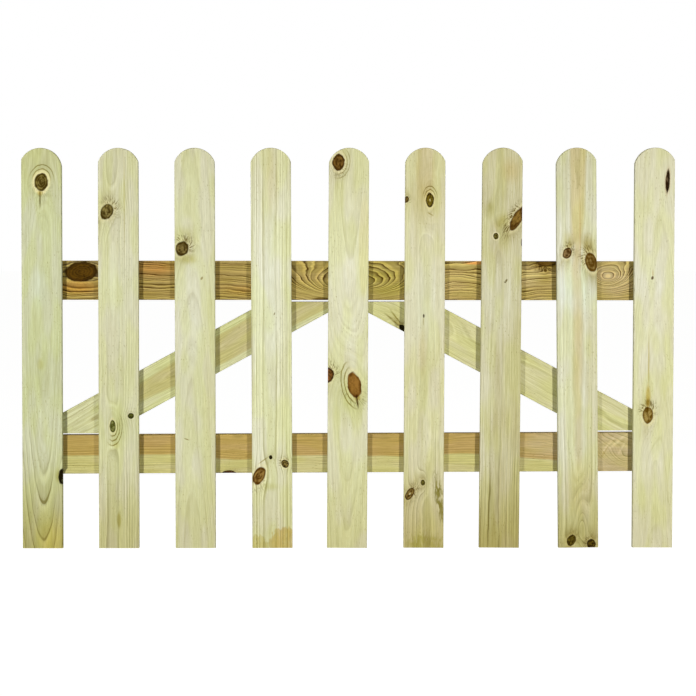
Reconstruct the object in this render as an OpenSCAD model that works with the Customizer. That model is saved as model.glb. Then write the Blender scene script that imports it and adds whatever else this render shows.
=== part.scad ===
// Wooden picket gate leaf: nine round-top pales screwed to two rails and two sloping braces.
// Millimetres, +Z up. X runs along the leaf and -Y is the front, the side with the pales.
// The origin lies on the back face of the lower rail, behind the first pale,
// where the lower hinge is screwed on.

/* [Leaf] */
// Width of the whole leaf
leaf_w = 1500; // [900:5:2000]
// Height of the pales, foot to top
leaf_h = 922; // [700:5:1300]

/* [Pales] */
// Number of pales
pale_count = 9; // [5:1:11]
// Width of a pale
pale_w = 92.5; // [60:0.5:120]
// Thickness of a pale
pale_t = 20; // [12:1:30]
// Radius of the round top, beyond half the width of the pale
arch_ease = 2.75; // [2.75:0.25:20]
// Sideways shift of each round top, from left to right
arch_shift = [-2.5, 0, 0, 0, 0.5, 0.5, 1, 1.5, 1.5]; // [-2.5:0.5:2.5]
// Lean of each pale to the right in degrees, from left to right
pale_lean = [0.1, 0.1, 0, -0.15, 0.35, 0.25, 0.45, -0.5, 0.15]; // [-0.6:0.05:0.6]

/* [Rails] */
// Height of a rail
rail_h = 90; // [60:1:120]
// Thickness of the rails and braces
rail_t = 28; // [18:1:45]
// Underside of the lower rail above the foot of the first pale
foot_h = 170.5; // [60:0.5:250]
// Top edge of the upper rail below the top of the first pale
crown_h = 259; // [80:1:350]
// Rise of the lower and upper rail towards the right in degrees
rail_rise = [0.2, -0.1]; // [-0.4:0.1:0.4]

/* [Braces] */
// Width of a brace, measured square to its length
brace_w = 91; // [60:1:120]
// Gap left between a sawn brace end and the rail
brace_gap = 4; // [2:0.5:8]
// Outer toe of the left and right brace, in from the end of the leaf
brace_inset = [4, 0]; // [0:1:40]

/* [Edges] */
// Bevel on the long edges of the planed boards
arris = 2; // [0.5:0.25:4]

/* [Hidden] */
$fn = 96;
// Overlap that lets one cutting body reach past another
reach = 10;

pitch = (leaf_w - pale_w) / (pale_count - 1);
leaf_left = -pale_w / 2;
leaf_mid = leaf_left + leaf_w / 2;
foot_z = -foot_h - rail_h / 2;
upper_rail_z = foot_z + leaf_h - crown_h - rail_h / 2;
front_of_rails = -rail_t;

// Cross-section of a planed board: a rectangle with its four corners bevelled.
module board_section(width, thickness) {
    x = width / 2;
    y = thickness / 2;
    polygon([
        [x - arris, -y], [x, arris - y], [x, y - arris], [x - arris, y],
        [arris - x, y], [-x, y - arris], [-x, arris - y], [arris - x, -y]
    ]);
}

// A planed board that stands on the origin, with its thickness centred on Y.
module board(width, thickness, length) {
    linear_extrude(length)
        board_section(width, thickness);
}

// Disc on the Y axis whose two rims are bevelled as the board edges are.
module arch_disc(radius, thickness) {
    y = thickness / 2;
    rotate([90, 0, 0])
        rotate_extrude()
            polygon([
                [0, -y], [radius - arris, -y], [radius, arris - y],
                [radius, y - arris], [radius - arris, y], [0, y]
            ]);
}

// Everything that stays of a board when its top is sawn round.
module arch_keep(shift) {
    radius = pale_w / 2 + arch_ease;
    centre_z = leaf_h - radius;
    translate([shift, 0, centre_z])
        arch_disc(radius, pale_t);
    translate([-pale_w, -pale_t, -reach])
        cube([2 * pale_w, 2 * pale_t, centre_z + reach]);
}

// One pale, standing on the origin.
module pale_blank(shift) {
    intersection() {
        board(pale_w, pale_t, leaf_h);
        arch_keep(shift);
    }
}

// Pale number i in its place on the leaf, leaning about the middle of its height.
module pale(i) {
    lean = pale_lean[(i - 1) % len(pale_lean)];
    shift = arch_shift[(i - 1) % len(arch_shift)];
    color("#d8d8ac")
        translate([(i - 1) * pitch, front_of_rails - pale_t / 2, foot_z + leaf_h / 2])
            rotate([0, lean, 0])
                translate([0, 0, -leaf_h / 2])
                    pale_blank(shift);
}

// A rail as long as the leaf is wide, at height z behind the first pale.
module rail(z, rise) {
    color("#b08a4a")
        translate([0, front_of_rails / 2, z])
            rotate([0, 90 - rise, 0])
                translate([0, 0, leaf_left])
                    board(rail_h, rail_t, leaf_w);
}

// Height of the edge of a rail at x: the upper edge for side 1 and the lower one for side -1.
function rail_edge(x, z, rise, side) = z + x * tan(rise) + side * rail_h / 2 / cos(rise);

// A brace that climbs from the outer end of the lower rail to the middle of the upper rail.
// Its ends are sawn level. side is -1 for the left brace and 1 for the right one.
module brace(side, inset) {
    run = leaf_w / 2 - inset;
    low_z = rail_edge(leaf_mid + side * run, 0, rail_rise[0], 1) + brace_gap;
    high_z = rail_edge(leaf_mid, upper_rail_z, rail_rise[1], -1) - brace_gap;
    rise = high_z - low_z;
    slope = atan(rise / run) + asin(brace_w / norm([run, rise]));
    overrun = brace_w / tan(slope) + reach;
    bar_length = rise / sin(slope) + 2 * overrun;
    color("#bdb37a")
        translate([leaf_mid + side * run, front_of_rails / 2, low_z])
            intersection() {
                rotate([0, -side * (90 - slope), 0])
                    translate([-side * brace_w / 2, 0, -overrun])
                        board(brace_w, rail_t, bar_length);
                translate([-leaf_w, -rail_t, 0])
                    cube([2 * leaf_w, 2 * rail_t, rise]);
            }
}

for (i = [1 : pale_count])
    pale(i);
rail(0, rail_rise[0]);  // lower_rail
rail(upper_rail_z, rail_rise[1]);  // upper_rail
brace(-1, brace_inset[0]);  // left_brace
brace(1, brace_inset[1]);  // right_brace
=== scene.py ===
# %% [markdown]
# # A picket gate leaf in planed, pressure-treated pine
#
# The gate is thirteen boards: nine round-top pales, two rails and two sloping braces, screwed
# together from the back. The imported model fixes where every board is. What is made here is how the
# boards look: eased edges, growth rings that run round the knots, dried-out cracks and screw heads.
#
# The boards are made by Geometry Nodes, because their shape follows a rule. The pine is one node
# recipe that grows a tree trunk in three dimensions and lets each board cut its own slice out of it.

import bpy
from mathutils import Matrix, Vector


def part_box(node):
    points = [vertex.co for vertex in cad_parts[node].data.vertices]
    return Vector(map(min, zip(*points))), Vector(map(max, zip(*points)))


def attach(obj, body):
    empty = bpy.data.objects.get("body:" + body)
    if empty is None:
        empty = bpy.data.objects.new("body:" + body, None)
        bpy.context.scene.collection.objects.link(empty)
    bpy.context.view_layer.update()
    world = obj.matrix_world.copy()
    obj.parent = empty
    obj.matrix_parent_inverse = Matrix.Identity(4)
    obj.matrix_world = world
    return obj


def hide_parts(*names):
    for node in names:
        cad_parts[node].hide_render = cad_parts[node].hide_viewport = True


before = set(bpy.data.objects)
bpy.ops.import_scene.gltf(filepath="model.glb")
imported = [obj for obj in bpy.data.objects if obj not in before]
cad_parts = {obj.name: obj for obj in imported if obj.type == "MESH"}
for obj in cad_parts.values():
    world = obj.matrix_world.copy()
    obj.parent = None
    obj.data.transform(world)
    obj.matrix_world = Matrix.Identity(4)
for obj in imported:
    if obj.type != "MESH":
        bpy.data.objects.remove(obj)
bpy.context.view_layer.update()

# %% [markdown]
# ## Where the boards are
#
# The boards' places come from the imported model. A leaning board's box does not tell how it leans, so
# the few sizes that a box hides are repeated here with the values that the boards were drawn with.

# %% Sizes of the boards
import math
from dataclasses import dataclass

import bmesh
import bpy
from mathutils import Matrix, Quaternion, Vector
from mathutils.noise import noise as solid_noise

MM = 0.001
LEAF_WIDTH = 1500 * MM
PALE_WIDTH = 92.5 * MM
PALE_HEIGHT = 922 * MM
PALE_THICKNESS = 20 * MM
ARCH_RADIUS = PALE_WIDTH / 2 + 2.75 * MM
ARCH_SHIFTS = [-2.5, 0, 0, 0, 0.5, 0.5, 1, 1.5, 1.5]
LEANS = [0.1, 0.1, 0, -0.15, 0.35, 0.25, 0.45, -0.5, 0.15]
RAIL_WIDTH = 90 * MM
LOWER_RISE = 0.2
UPPER_RISE = -0.1
BRACE_WIDTH = 91 * MM
BOARD_THICKNESS = 28 * MM
EASED = 2.2 * MM

rail_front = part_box("lower_rail")[0].y
pale_front = rail_front - PALE_THICKNESS
foot_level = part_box("pale_3")[0].z
pitch = (LEAF_WIDTH - PALE_WIDTH) / (len(LEANS) - 1)
leaf_middle = (LEAF_WIDTH - PALE_WIDTH) / 2
print(f"a pale every {pitch:.4f}, feet at {foot_level:.4f}, pale fronts at {pale_front:.3f}")

# %% Places of the pales and rails
@dataclass
class Board:
    """Where a board starts and how it is turned about Y, away from standing upright."""

    node: str
    place: Vector
    turn: float
    width: float
    thickness: float
    length: float
    slant: float = 0.0


def lengthwise(turn):
    """The direction in which a board runs that is turned by this."""
    return Vector((math.sin(turn), 0, math.cos(turn)))


def standing_pale(index):
    """Pale number index, counted from 0: its lean turns it about the middle of its height."""
    lean = math.radians(LEANS[index])
    middle = Vector((index * pitch, pale_front, foot_level + PALE_HEIGHT / 2))
    foot = middle - lengthwise(lean) * PALE_HEIGHT / 2
    return Board(f"pale_{index + 1}", foot, lean, PALE_WIDTH, PALE_THICKNESS, PALE_HEIGHT)


def lying_rail(node, rise):
    """A rail is an upright board turned by a quarter, less the few minutes that it rises."""
    low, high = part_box(node)
    turn = math.pi / 2 - math.radians(rise)
    start = Vector((leaf_middle, rail_front, (low.z + high.z) / 2)) - lengthwise(turn) * LEAF_WIDTH / 2
    return Board(node, start, turn, RAIL_WIDTH, BOARD_THICKNESS, LEAF_WIDTH)


pales = [standing_pale(index) for index in range(len(LEANS))]
lower_rail = lying_rail("lower_rail", LOWER_RISE)
upper_rail = lying_rail("upper_rail", UPPER_RISE)
print(len(pales), "pales and 2 rails placed")

# %% [markdown]
# A brace is a board whose two ends are sawn level. Its slope follows from the box that it fills: one
# edge starts at the outer toe and the other one ends at the inner tip. Sawing level across a board
# that is turned slants its ends, and the slant is the tangent of the turn.

# %% Places of the braces
def sloping_brace(node, side):
    """side is -1 for the brace whose toe is at the left, and 1 for the other."""
    low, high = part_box(node)
    run = high.x - low.x
    rise = high.z - low.z
    slope = math.atan2(rise, run) + math.asin(BRACE_WIDTH / math.hypot(run, rise))
    turn = -side * (math.pi / 2 - slope)
    toe = low.x if side < 0 else high.x
    start = Vector((toe - side * BRACE_WIDTH / 2 / math.cos(turn), low.y, low.z))
    return Board(node, start, turn, BRACE_WIDTH, BOARD_THICKNESS, rise / math.cos(turn), math.tan(turn))


left_brace = sloping_brace("left_brace", -1)
right_brace = sloping_brace("right_brace", 1)
for brace in (left_brace, right_brace):
    print(brace.node, "turned by", round(math.degrees(brace.turn), 2), "degrees")

# %% [markdown]
# ## Writing node trees as sums
#
# Both kinds of node tree used here are mostly arithmetic, which is hard to read as a hundred boxes.
# A Wire holds one output socket. Adding, multiplying or taking the sine of a Wire adds the Math node
# that does it, so a rule can be written down as the formula that it is.

# %% A wire through a node tree
def colour(code):
    """A colour written as #RRGGBB, as the three numbers that light adds up with."""
    parts = [int(code[start:start + 2], 16) / 255 for start in (1, 3, 5)]
    return [((part + 0.055) / 1.055) ** 2.4 for part in parts]


def plug(tree, value, port):
    """Feed an input from a wire, or set it to a plain value. A colour is a code or three numbers."""
    if isinstance(value, Wire):
        tree.links.new(value.socket, port)
    elif port.type == "RGBA":
        port.default_value = (*(colour(value) if isinstance(value, str) else value), 1.0)
    else:
        port.default_value = value


def add_node(tree, kind, inputs=(), **settings):
    """A new node with its settings, and its inputs fed in order or by name."""
    node = tree.nodes.new(kind)
    for name, value in settings.items():
        setattr(node, name, value)
    pairs = inputs.items() if isinstance(inputs, dict) else enumerate(inputs)
    for port, value in pairs:
        plug(tree, value, node.inputs[port])
    return node


def output_of(tree, kind, inputs=(), port=0, **settings):
    """The same, giving one of the node's outputs as a wire."""
    return Wire(tree, add_node(tree, kind, inputs, **settings).outputs[port])


def tree_of(*values):
    """The tree that a wire among these values runs through."""
    return next(value.tree for value in values if isinstance(value, Wire))


def math_node(operation, *values):
    """The result of this operation on wires and numbers."""
    return output_of(tree_of(*values), "ShaderNodeMath", values, operation=operation)


def sides(operation):
    """What a wire does as the left and as the right side of an operation."""
    return (lambda self, other: math_node(operation, self, other),
            lambda self, other: math_node(operation, other, self))


class Wire:
    """One number on its way through a node tree."""

    def __init__(self, tree, socket):
        self.tree = tree
        self.socket = socket

    __add__, __radd__ = sides("ADD")
    __sub__, __rsub__ = sides("SUBTRACT")
    __mul__, __rmul__ = sides("MULTIPLY")
    __truediv__, __rtruediv__ = sides("DIVIDE")

    def __neg__(self):
        return self * -1.0


def sin(wire):
    return math_node("SINE", wire)


def cos(wire):
    return math_node("COSINE", wire)


def root(wire):
    return math_node("SQRT", wire)


def between(wire, start, end, way="LINEAR"):
    """0 up to start, 1 from end, and straight in between."""
    return output_of(wire.tree, "ShaderNodeMapRange", [wire, start, end, 0.0, 1.0],
                     interpolation_type=way)


def ease(wire, start, end):
    """As between, but easing in and out."""
    return between(wire, start, end, way="SMOOTHSTEP")


def hill(wire, start, top, end, foot):
    """Eases up to 1 from start to top, and down to 0 again from end to foot."""
    return ease(wire, start, top) * (1.0 - ease(wire, end, foot))


def split(wire):
    """The three numbers of a vector."""
    node = add_node(wire.tree, "ShaderNodeSeparateXYZ", [wire])
    return [Wire(wire.tree, output) for output in node.outputs]


def join(x, y, z):
    """A vector from three numbers, as a wire."""
    return output_of(tree_of(x, y, z), "ShaderNodeCombineXYZ", [x, y, z])


def start_group(kind, name, inputs, outputs):
    """A node group whose sockets are listed by kind, as in {"Float": "Width, Length"}.

    Gives the tree, its inputs as wires, and its output node.
    """
    tree = bpy.data.node_groups.new(name, kind)
    for side, sockets in (("INPUT", inputs), ("OUTPUT", outputs)):
        for sort, labels in sockets.items():
            for label in labels.split(", "):
                tree.interface.new_socket(label, in_out=side, socket_type="NodeSocket" + sort)
    entry = tree.nodes.new("NodeGroupInput")
    wires = {port.name: Wire(tree, port) for port in entry.outputs}
    return tree, wires, tree.nodes.new("NodeGroupOutput")


print("wires are ready")

# %% [markdown]
# ## A board as a rule
#
# Every board starts as a lattice cube, and a rule moves each point of the lattice to its place. The
# lattice has nine levels through the thickness. The outer four on each side run round a quarter
# circle, which eases the long edges as a planer does. The sawn ends stay sharp.
#
# A Bevel modifier can't tell a planed edge from a sawn end. The rule can, and it also gives an even
# mesh that later cuts go into cleanly.

# %% Rules that all boards share
LEVELS = 9
FIRST_BEND = 0.25
SEAM = 0.02 * MM


def start_board(name, more_sizes):
    """A group with the inputs that every board has, and these."""
    return start_group(
        "GeometryNodeTree", name,
        {"Float": "Width, Thickness, Length, Eased, Turn, " + more_sizes, "Vector": "Place",
         "Material": "Material"}, {"Geometry": "Board"})


def lattice(tree, columns, rows):
    """A cube of points: its mesh, and each point's place across, deep and along."""
    cube = output_of(tree, "GeometryNodeMeshCube", {
        "Size": (2, 2, 1), "Vertices X": columns, "Vertices Y": LEVELS, "Vertices Z": rows})
    across, deep, along = split(output_of(tree, "GeometryNodeInputPosition"))
    return cube, across, deep, along + 0.5


def eased_edge(level, size):
    """How deep a lattice level lies, and how far its side draws in. level runs from -1 to 1."""
    thickness, radius = size["Thickness"], size["Eased"]
    bend = between(math_node("ABSOLUTE", level), FIRST_BEND, 1.0) * (math.pi / 2)
    depth = math_node("SIGN", level) * (thickness / 2 - radius + radius * sin(bend)) + thickness / 2
    inset = radius - radius * cos(bend)
    return depth, inset


def in_turn(tree, shape, steps):
    """Send a shape through one node after another."""
    for kind, inputs in steps:
        shape = output_of(tree, kind, {"Geometry": shape, **inputs})
    return shape


def finish_shape(tree, shape, size, output):
    """Turn a tree's instances into mesh, give them the material and connect the result."""
    painted = in_turn(tree, shape, [("GeometryNodeRealizeInstances", {}),
                                    ("GeometryNodeSetMaterial", {"Material": size["Material"]})])
    plug(tree, painted, output.inputs[0])
    print(tree.name, "has", len(tree.nodes), "nodes")
    return tree


def put_in_place(tree, mesh, size, x, y, z):
    """Turn the board about Y, move it to its place and close its seams."""
    px, py, pz = split(size["Place"])
    turned_x = x * cos(size["Turn"]) + z * sin(size["Turn"])
    turned_z = z * cos(size["Turn"]) - x * sin(size["Turn"])
    return in_turn(tree, mesh, [
        ("GeometryNodeSetPosition", {"Position": join(px + turned_x, py + y, pz + turned_z)}),
        ("GeometryNodeMergeByDistance", {"Distance": SEAM}),
        ("GeometryNodeSetShadeSmooth", {})])


print("a board has", LEVELS, "levels through its thickness")

# %% [markdown]
# A sawn board's rule is short: the point's place across, drawn in where the edge is eased, and its
# place along, pushed up by the slant where the ends are sawn at an angle.

# %% The tree for rails and braces
def sawn_board_tree():
    tree, size, output = start_board("Sawn board", "Slant")
    cube, across, deep, along = lattice(tree, columns=11, rows=61)
    y, inset = eased_edge(deep, size)
    x = across * (size["Width"] / 2 - inset)
    z = along * size["Length"] + x * size["Slant"]
    return finish_shape(tree, put_in_place(tree, cube, size, x, y, z), size, output)


sawn_board = sawn_board_tree()

# %% [markdown]
# A pale's top is sawn to a circle that is a little wider than the board, so small shoulders stay
# where the arc meets the sides, and they differ when the saw was set off centre. The rule follows the
# left and right outline separately. Up to the shoulder it goes straight, then round the arc to the
# crown, where both sides meet. Every other point lies on the line between the two outlines.

# %% The tree for pales
STRAIGHT = 0.55


def outline(side, rise, half, arch, shift, crown):
    """The edge of the pale on one side: side is 1 at the right and -1 at the left."""
    shoulder = math_node("ARCCOSINE", (half - side * shift) / arch)
    angle = shoulder + (math.pi / 2 - shoulder) * between(rise, STRAIGHT, 1.0)
    x = shift + side * arch * cos(angle)
    straight = (crown + arch * sin(shoulder)) * between(rise, 0.0, STRAIGHT)
    return x, straight + arch * (sin(angle) - sin(shoulder))


def round_top_tree():
    tree, size, output = start_board("Round-top pale", "Arch radius, Arch shift")
    cube, across, deep, rise = lattice(tree, columns=13, rows=73)
    y, inset = eased_edge(deep, size)
    half = size["Width"] / 2 - inset
    arch = size["Arch radius"] - inset
    crown = size["Length"] - size["Arch radius"]
    left_x, left_z = outline(-1, rise, half, arch, size["Arch shift"], crown)
    right_x, right_z = outline(1, rise, half, arch, size["Arch shift"], crown)
    share = (across + 1.0) / 2
    x = left_x + (right_x - left_x) * share
    z = left_z + (right_z - left_z) * share
    return finish_shape(tree, put_in_place(tree, cube, size, x, y, z), size, output)


round_top = round_top_tree()

# %% [markdown]
# ## From a tree to a plain mesh
#
# A modifier's inputs are set by their identifiers, all before the object is first looked at. Then the
# evaluated shape is copied into a plain mesh, and the modifier goes. Set Material leaves an empty slot
# in front of its own, into which the faces of a later cut would fall, so the slots are made anew. Once
# all hollows are cut, edges over 40 degrees are marked sharp and flat faces shaded flat.

# %% Run a tree and keep its mesh
SHARP_FROM = math.radians(40)


def add_object(name, data):
    """A new object in the scene."""
    thing = bpy.data.objects.new(name, data)
    bpy.context.scene.collection.objects.link(thing)
    return thing


def plain_mesh(piece):
    """Replace a piece's mesh by what its modifiers make of it, and remove them."""
    shape = bpy.data.meshes.new_from_object(piece.evaluated_get(bpy.context.evaluated_depsgraph_get()))
    piece.modifiers.clear()
    piece.data = shape


def grow(name, tree, values, points=()):
    """A new piece made by a tree from named values, standing on these points if it needs any."""
    mesh = bpy.data.meshes.new(name)
    mesh.from_pydata(points, [], [])
    piece = add_object(name, mesh)
    modifier = piece.modifiers.new(tree.name, "NODES")
    modifier.node_group = tree
    for item in tree.interface.items_tree:
        if item.name in values:
            modifier[item.identifier] = values[item.name]
    plain_mesh(piece)
    piece.data.materials.clear()
    piece.data.materials.append(values["Material"])
    return piece


def sharpen(piece):
    """Keep sawn edges crisp and faces flat, while eased edges stay smooth."""
    piece.data.set_sharp_from_angle(angle=SHARP_FROM)
    weighted = piece.modifiers.new("flat faces", "WEIGHTED_NORMAL")
    weighted.keep_sharp = True
    plain_mesh(piece)


def cut(piece, cutters):
    """Take the cutters' shapes out of a piece, and throw the cutters away."""
    for cutter in cutters:
        hollow = piece.modifiers.new(cutter.name, "BOOLEAN")
        hollow.operation = "DIFFERENCE"
        hollow.solver = "EXACT"
        hollow.object = cutter
    plain_mesh(piece)
    for cutter in cutters:
        bpy.data.objects.remove(cutter)


print("edges are sharp from", round(math.degrees(SHARP_FROM)), "degrees")

# %% [markdown]
# ## Pine: the figure of a board
#
# A tree adds one layer a year, pale in spring and dark by late summer, and the saw cuts through the
# layers. Where the face runs nearly along them the lines spread into tall arches, and where it cuts
# across them they stand close together.
#
# So the material doesn't paint lines. It works out how far each point was from the pith of its tree,
# and the fraction of a year left over is the colour. The ends and edges then match the faces by
# themselves. Every board gets its own pith, knots, stains and patches of painted light below.

# %% Helpers for shader trees
def noise(place, detail=0.0):
    """Soft random clouds from 0 to 1, one unit wide, at a place made of three wires."""
    vector = join(*place)
    return output_of(vector.tree, "ShaderNodeTexNoise",
                     {"Vector": vector, "Scale": 1.0, "Detail": detail})


def grain(place, width, length, shift=(0, 0, 0), detail=0.0):
    """Clouds this wide across the board and this long along it, shifted by so many clouds."""
    scaled = [wire / size for wire, size in zip(place, (width, width, length))]
    return noise([wire + by if by else wire for wire, by in zip(scaled, shift)], detail)


def noise_along(wire):
    """Clouds one unit long on a single line."""
    return output_of(wire.tree, "ShaderNodeTexNoise", {"W": wire, "Scale": 1.0, "Detail": 1.0},
                     noise_dimensions="1D")


def blend(share, first, second, mode="MIX"):
    """From the first colour to the second one as share goes from 0 to 1."""
    return output_of(tree_of(share, first), "ShaderNodeMix", {0: share, 6: first, 7: second}, port=2,
                     data_type="RGBA", blend_type=mode)


def tint(share, wood, tone):
    """Multiply a colour by a tone as share goes from 0 to 1."""
    return blend(share, wood, tone, mode="MULTIPLY")


def shade(share, wood, light, dark):
    """Multiply a colour by a tone that goes from light to dark as share goes from 0 to 1."""
    return tint(1.0, wood, blend(share, light, dark))


def bell(wire):
    """1 in the middle and fading to 0 on both sides."""
    return math_node("EXPONENT", -(wire * wire))


ANGLES = ("turn", "brush", "arcs_at")


def use_group(tree, group, record=None, **wires):
    """Put a group into a tree, fed by wires and by the record's fields that bear its inputs' names."""
    node = add_node(tree, "ShaderNodeGroup", node_tree=group)
    for port in node.inputs:
        label = port.name.replace(" ", "_")
        field = label.lower()
        if label in wires:
            plug(tree, wires[label], port)
        elif hasattr(record, field):
            value = getattr(record, field)
            plug(tree, math.radians(value) if field in ANGLES else value, port)
    return {output.name: Wire(tree, output) for output in node.outputs}


def finish_group(tree, output, **wires):
    """Connect a group's results."""
    for label, wire in wires.items():
        plug(tree, wire, output.inputs[label])
    print(tree.name, "has", len(tree.nodes), "nodes")
    return tree


# %% [markdown]
# The pith isn't quite parallel to the board: it drifts as the board goes up, it bows, and it wanders
# a little. Years differ in width and in how dark they end. Spring wood turns into summer wood
# gradually, but the winter edge is sharp.

# %% The years of growth
BOW_MIDDLE = 460.0
YEAR_SPREAD = 1.6
FAINTEST_LINE = 0.35


def growth_group():
    tree, size, output = start_group(
        "ShaderNodeTree", "Years of growth",
        {"Vector": "Point", "Float": "Shift, Lift, Pith across, Pith depth, Drift across, Drift deep, "
                                     "Bow, Year, Phase, Late, Wander, Ripple, Seed"},
        {"Float": "Line, Early, Radius"})
    place = x, y, z = split(size["Point"])
    seed = size["Seed"]
    sway = grain(place, 70, 260, shift=(seed * 3.7, 0, seed)) - 0.5
    ripple = grain(place, 16, 42, shift=(0, seed * 5.3, 0), detail=1.0) - 0.5
    off_middle = z / BOW_MIDDLE - 1.0
    across = x + size["Shift"] - size["Pith across"] - size["Drift across"] * z
    deep = y - size["Pith depth"] - size["Drift deep"] * z - size["Bow"] * off_middle * off_middle
    radius = root(across * across + deep * deep) + size["Lift"]
    radius = radius + size["Wander"] * sway + size["Ripple"] * ripple
    unevenness = (noise_along(radius / 14 + seed) - 0.5) * YEAR_SPREAD
    years = radius / size["Year"] + unevenness + size["Phase"]
    part = math_node("FRACT", years)
    edge = 1.0 - ease(part, 0.95, 1.0)
    late = ease(part, size["Late"], 0.9) * 0.7 + ease(part, 0.3, 0.9) * 0.3
    early = hill(part, 0.0, 0.06, 0.12, 0.4)
    luck = output_of(tree, "ShaderNodeTexWhiteNoise", {"W": math_node("FLOOR", years) + seed},
                     port="Value", noise_dimensions="1D")
    line = late * edge * (FAINTEST_LINE + (1.0 - FAINTEST_LINE) * luck)
    return finish_group(tree, output, Line=line, Early=early, Radius=radius)


growth = growth_group()

# %% [markdown]
# ## Knots
#
# A knot is a branch that the trunk grew round. The grain has to part for it and close again, and the
# layers bulge round it, so they show as rings. So each knot first bends the growth (Shift moves the
# grain aside, Lift adds to the radius), and only then paints its own wood.

# %% The shape of a knot
BRANCH_CLIMB = 0.25
GRAIN_REACH = 0.3


def turned_oval(size, dx, dz):
    """A point's place in a turned oval that is Wide and Long, in halves of the two."""
    u = (dx * cos(size["Turn"]) - dz * sin(size["Turn"])) * 2 / size["Wide"]
    v = (dx * sin(size["Turn"]) + dz * cos(size["Turn"])) * 2 / size["Long"]
    return u, v


def knot_group():
    tree, size, output = start_group(
        "ShaderNodeTree", "Knot",
        {"Vector": "Point", "Float": "Across, Along, Wide, Long, Turn, Push, Swell"},
        {"Float": "Distance, U, V, Own, Shift, Lift"})
    place = x, y, z = split(size["Point"])
    dx = x - size["Across"]
    dz = z - size["Along"] + y * BRANCH_CLIMB
    u, v = turned_oval(size, dx, dz)
    ragged = grain(place, 11, 13, detail=1.0) - 0.5
    distance = root(u * u + v * v) * (1.0 + ragged * 0.3)
    beside = bell(dx / (size["Wide"] * 1.1)) * bell(dz / (size["Long"] * 0.95))
    bulge = size["Swell"] * bell(root(u * u + v * v * GRAIN_REACH) * 0.5)
    own = size["Across"] * 0.37 + size["Along"] * 0.11
    return finish_group(tree, output, Distance=distance, U=u, V=v, Own=own,
                        Shift=-dx * size["Push"] * beside, Lift=bulge)


knot_shape = knot_group()

# %% [markdown]
# From the outside inwards: resin smudges the wood around a knot, and the wood next to it is yellower.
# Fine dark hairs cluster on one side, where fibres were bent across the cut, and thin arcs show
# where layers turn over it. Inside come a dark rim of bark, blotches, narrow rings and drying cracks.
# Own is a number that differs from knot to knot, so that no two have the same blotches.

# %% The wood of a knot
HALO = "#EBE2B0"
SMUDGE = (0.6, 0.52, 0.26)
ARC_TONE = (0.46, 0.4, 0.19)
HAIR_TONE = (0.26, 0.2, 0.07)
CURL = 0.35


def knot_wood_group():
    tree, size, output = start_group(
        "ShaderNodeTree", "Knot wood",
        {"Vector": "Point", "Color": "Colour, Core, Rim",
         "Float": "Distance, U, V, Own, Dark, Rings, Ringed, Blotches, Halo, Smudge, Hairs, Brush, "
                  "Arcs, Arcs at, Arc rate, Arc reach, Eye"},
        {"Color": "Colour"})
    distance, u, v, own = (size[label] for label in ("Distance", "U", "V", "Own"))
    ray_u = u / (distance + 0.01)
    ray_v = v / (distance + 0.01)
    patchy = ease(noise([ray_u * 1.1, ray_v * 1.1, own]), 0.35, 0.6)
    hair = noise([(ray_u + ray_v * distance * CURL) * 9, (ray_v - ray_u * distance * CURL) * 9,
                  distance * 0.8 + own], detail=1.0)
    blotch = noise([u * 1.5 + own, v * 1.5, own], detail=2.0)
    mottle = ease(grain(split(size["Point"]), 4, 5, detail=2.0), 0.4, 0.6)
    ringed = 0.5 + 0.5 * sin(distance * size["Rings"] + blotch * 4)
    cracks = ease(noise([ray_u * 2.5, ray_v * 2.5, distance + own]), 0.6, 0.7)

    around = bell(root(u * u + v * v * 0.4) / 1.6)
    wood = tint(around * size["Smudge"] * (0.4 + 0.9 * patchy), size["Colour"], SMUDGE)
    wood = blend((1.0 - ease(distance, 1.12, 1.6)) * size["Halo"], wood, HALO)
    over = ease(sin(size["Arcs at"]) * ray_u + cos(size["Arcs at"]) * ray_v, -0.1, 0.8)
    oval = root(u * u + v * v)
    reach = size["Arc reach"]
    stretch = hill(oval, 1.25, 1.4, reach * 0.8, reach)
    arcs = ease(sin(oval * size["Arc rate"] + blotch * 3), 0.3, 0.95) * stretch * over
    wood = tint(arcs * size["Arcs"], wood, ARC_TONE)
    towards = sin(size["Brush"]) * ray_u + cos(size["Brush"]) * ray_v
    near = hill(distance, 0.95, 1.1, 1.2, 2.6)
    combed = 0.15 + 0.85 * ease(towards, -0.2, 0.8)
    strands = ease(hair, 0.5, 0.61) * near * combed
    wood = tint(strands * size["Hairs"], wood, HAIR_TONE)

    dark = ease(blotch, 0.38, 0.6) * size["Blotches"] + ringed * size["Ringed"]
    dark = dark + mottle * 0.2 + cracks * 0.4 - 0.2
    wood = blend(1.0 - ease(distance, 0.92, 1.04), wood, blend(dark, size["Core"], size["Rim"]))
    rim = hill(distance, 0.66, 0.88, 0.98, 1.1)
    wood = blend(rim * size["Dark"] * (0.5 + 0.5 * patchy), wood, size["Rim"])
    wood = blend((1.0 - ease(distance, 0.08, 0.26)) * size["Eye"], wood, HALO)
    return finish_group(tree, output, Colour=wood)


knot_wood = knot_wood_group()
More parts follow.
